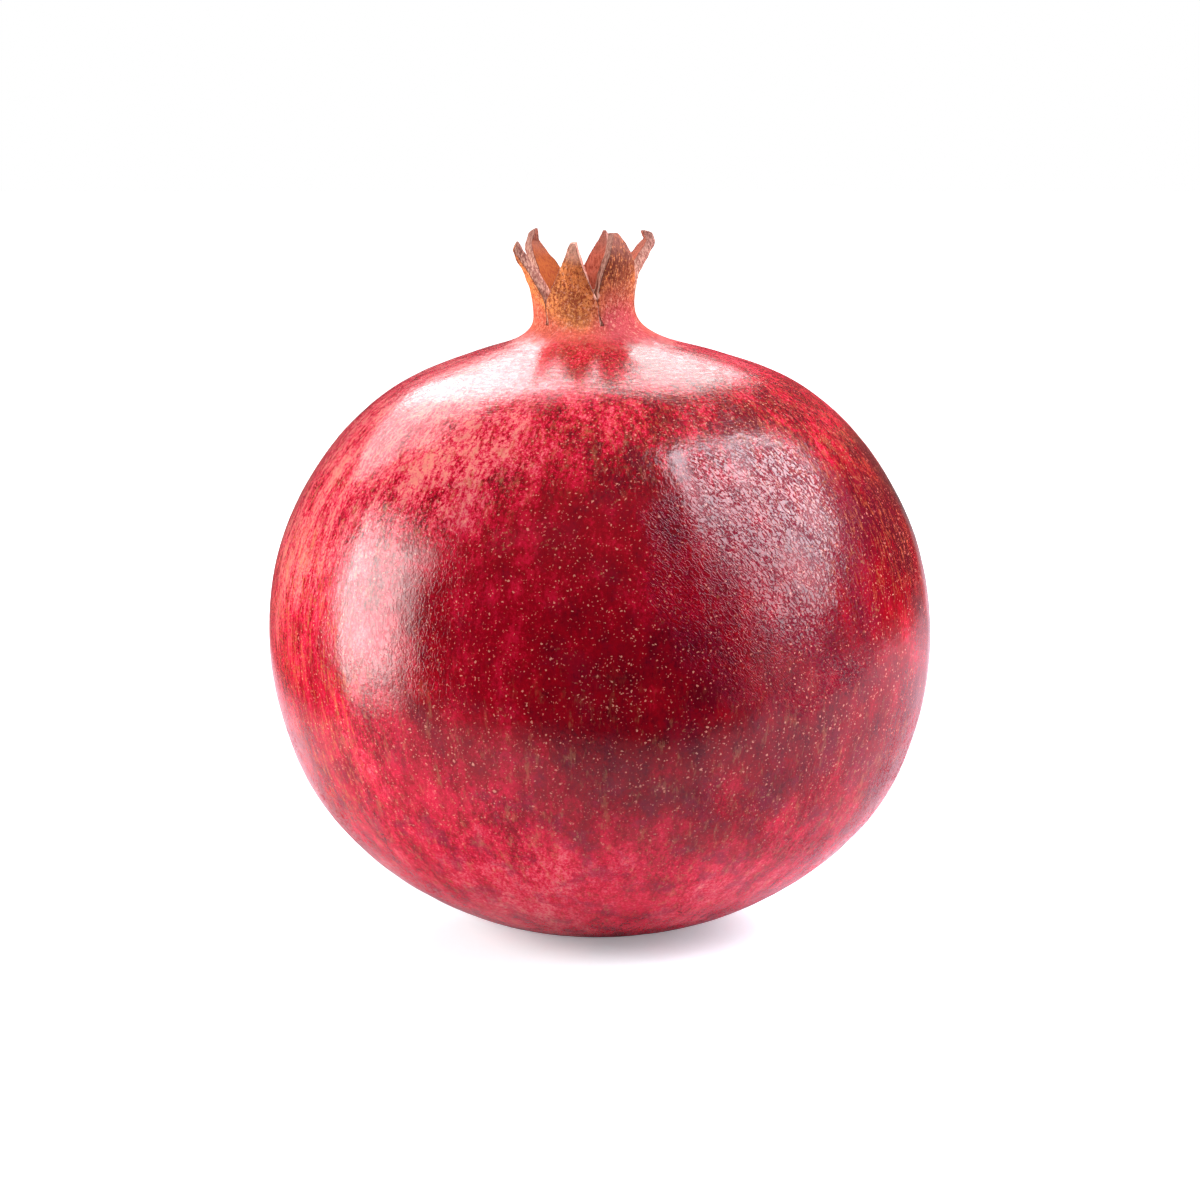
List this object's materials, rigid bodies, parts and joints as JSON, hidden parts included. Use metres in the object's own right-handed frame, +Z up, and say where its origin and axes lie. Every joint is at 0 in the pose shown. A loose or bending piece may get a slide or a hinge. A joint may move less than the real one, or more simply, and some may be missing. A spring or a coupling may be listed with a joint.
{
  "type": "pomegranate",
  "caption": "Whole ripe pomegranate as picked, standing on its flat spot: a round glossy red fruit with a flared calyx crown and a dried stamen tuft in its cup",
  "frame": {"origin": "middle of the flat spot that the fruit stands on", "axes": "+Z up through the crown, +X to the right and +Y away from the eater, seen from the front"},
  "size_m": [0.1, 0.1001, 0.106],
  "materials": {
    "rind": "waxy, finely pebbled red rind, tan on the crown",
    "stamen": "dry, dull tan-brown threads"
  },
  "bodies": {
    "root": {"fruit": "rind", "stamens": "stamen"}
  },
  "joints": []
}
